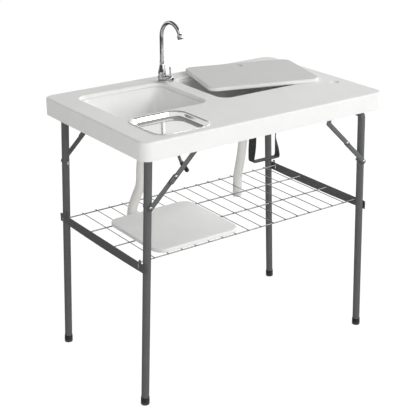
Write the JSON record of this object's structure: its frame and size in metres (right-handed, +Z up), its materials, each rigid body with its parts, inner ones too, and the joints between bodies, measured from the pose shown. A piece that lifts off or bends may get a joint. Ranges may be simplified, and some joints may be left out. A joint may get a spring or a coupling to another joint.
{
  "type": "folding cleaning table",
  "caption": "Folding outdoor cleaning table with two sinks, lid, tray, swan-neck tap, drain hoses, wire shelf and braced folding legs.",
  "frame": {"origin": "on the floor, under the middle of the table top", "axes": "+X to the right along the table, -Y to the front (the tray's side), +Z up"},
  "size_m": [1.014, 0.654, 1.184],
  "materials": {
    "top_plastic": "lightly grained moulded plastic",
    "leg_paint": "grey powder coat",
    "bar_paint": "dark grey powder coat",
    "zinc": "zinc plated",
    "chrome": "polished",
    "tray_steel": "bright pressed sheet",
    "black_plastic": "satin",
    "hose_plastic": "smooth",
    "braid": "braided",
    "webbing": "woven webbing"
  },
  "bodies": {
    "table": {"table_top": "top_plastic", "left_sink": "top_plastic", "right_sink": "top_plastic", "left_drain": "zinc", "right_drain": "zinc", "left_drain_hose": "hose_plastic", "right_drain_hose": "hose_plastic", "tap_body": "chrome", "tap_nut": "zinc", "inlet_hose": "braid", "hose_connector": "black_plastic", "carry_strap": "webbing", "left_strap_screw": "zinc", "right_strap_screw": "zinc", "left_front_hinge_block": "black_plastic", "left_front_bracket": "leg_paint", "left_rear_hinge_block": "black_plastic", "left_rear_bracket": "leg_paint", "right_front_hinge_block": "black_plastic", "right_front_bracket": "leg_paint", "right_rear_hinge_block": "black_plastic", "right_rear_bracket": "leg_paint"},
    "left_legs": {"left_leg_frame": "leg_paint", "left_front_foot": "black_plastic", "left_front_brace_bolt": "zinc", "left_rear_foot": "black_plastic", "left_rear_brace_bolt": "zinc"},
    "left_front_lower": {"left_front_lower_link": "leg_paint"},
    "left_front_upper": {"left_front_upper_link": "leg_paint", "left_front_knee_rivet": "zinc"},
    "left_rear_lower": {"left_rear_lower_link": "leg_paint"},
    "left_rear_upper": {"left_rear_upper_link": "leg_paint", "left_rear_knee_rivet": "zinc"},
    "right_legs": {"right_leg_frame": "leg_paint", "right_front_foot": "black_plastic", "right_front_brace_bolt": "zinc", "right_rear_foot": "black_plastic", "right_rear_brace_bolt": "zinc"},
    "right_front_lower": {"right_front_lower_link": "leg_paint"},
    "right_front_upper": {"right_front_upper_link": "leg_paint", "right_front_knee_rivet": "zinc"},
    "right_rear_lower": {"right_rear_lower_link": "leg_paint"},
    "right_rear_upper": {"right_rear_upper_link": "leg_paint", "right_rear_knee_rivet": "zinc"},
    "spout": {"tap_spout": "chrome", "tap_aerator": "chrome"},
    "lever": {"tap_lever": "chrome"},
    "lid": {"right_lid": "top_plastic"},
    "tray": {"tray": "tray_steel"},
    "shelf": {"shelf_grid": "zinc", "left_end_bar": "bar_paint", "right_end_bar": "bar_paint"},
    "board": {"shelf_board": "top_plastic"}
  },
  "joints": [
    {"name": "left_legs_fold", "type": "hinge", "parent": "table", "child": "left_legs", "pos_m": [-0.45491, 0, 0.8945], "axis": [0, -1, 0], "range_deg": [0, 92.23]},
    {"name": "left_front_lower_turn", "type": "hinge", "parent": "left_legs", "child": "left_front_lower", "pos_m": [-0.46193, 0, 0.71464], "axis": [0, -1, 0], "range_deg": [0, 43.98]},
    {"name": "left_front_upper_turn", "type": "hinge", "parent": "table", "child": "left_front_upper", "pos_m": [-0.27492, 0, 0.8945], "axis": [0, -1, 0], "range_deg": [-43.98, 0]},
    {"name": "left_rear_lower_turn", "type": "hinge", "parent": "left_legs", "child": "left_rear_lower", "pos_m": [-0.46193, 0, 0.71464], "axis": [0, -1, 0], "range_deg": [0, 43.98]},
    {"name": "left_rear_upper_turn", "type": "hinge", "parent": "table", "child": "left_rear_upper", "pos_m": [-0.27492, 0, 0.8945], "axis": [0, -1, 0], "range_deg": [-43.98, 0]},
    {"name": "right_legs_fold", "type": "hinge", "parent": "table", "child": "right_legs", "pos_m": [0.45614, 0, 0.863], "axis": [0, 1, 0], "range_deg": [0, 92.23]},
    {"name": "right_front_lower_turn", "type": "hinge", "parent": "right_legs", "child": "right_front_lower", "pos_m": [0.46316, 0, 0.68314], "axis": [0, 1, 0], "range_deg": [0, 43.98]},
    {"name": "right_front_upper_turn", "type": "hinge", "parent": "table", "child": "right_front_upper", "pos_m": [0.27614, 0, 0.863], "axis": [0, 1, 0], "range_deg": [-43.98, 0]},
    {"name": "right_rear_lower_turn", "type": "hinge", "parent": "right_legs", "child": "right_rear_lower", "pos_m": [0.46316, 0, 0.68314], "axis": [0, 1, 0], "range_deg": [0, 43.98]},
    {"name": "right_rear_upper_turn", "type": "hinge", "parent": "table", "child": "right_rear_upper", "pos_m": [0.27614, 0, 0.863], "axis": [0, 1, 0], "range_deg": [-43.98, 0]},
    {"name": "spout_swivel", "type": "hinge", "parent": "table", "child": "spout", "pos_m": [-0.061, 0.2455, 1.115], "axis": [0, 0, 1], "range_deg": [-150, 150]},
    {"name": "lever_turn", "type": "hinge", "parent": "table", "child": "lever", "pos_m": [-0.061, 0.2455, 0.9665], "axis": [0.2588, -0.9659, 0], "range_deg": [0, 90]},
    {"name": "lid_lift", "type": "slide", "parent": "table", "child": "lid", "axis": [0, 0, 1], "range_m": [0, 0.15]},
    {"name": "tray_lift", "type": "slide", "parent": "table", "child": "tray", "axis": [0, 0, 1], "range_m": [0, 0.1]},
    {"name": "shelf_lift", "type": "slide", "parent": "table", "child": "shelf", "axis": [0, 0, 1], "range_m": [0, 0.025]},
    {"name": "board_lift", "type": "slide", "parent": "shelf", "child": "board", "axis": [0, 0, 1], "range_m": [0, 0.03]}
  ],
  "couplings": [
    {"joint": "left_front_lower_turn", "follows": "left_legs_fold", "ratio": 0.47579},
    {"joint": "left_front_upper_turn", "follows": "left_legs_fold", "ratio": -0.47579},
    {"joint": "left_rear_lower_turn", "follows": "left_legs_fold", "ratio": 0.47579},
    {"joint": "left_rear_upper_turn", "follows": "left_legs_fold", "ratio": -0.47579},
    {"joint": "right_front_lower_turn", "follows": "right_legs_fold", "ratio": 0.47579},
    {"joint": "right_front_upper_turn", "follows": "right_legs_fold", "ratio": -0.47579},
    {"joint": "right_rear_lower_turn", "follows": "right_legs_fold", "ratio": 0.47579},
    {"joint": "right_rear_upper_turn", "follows": "right_legs_fold", "ratio": -0.47579}
  ]
}
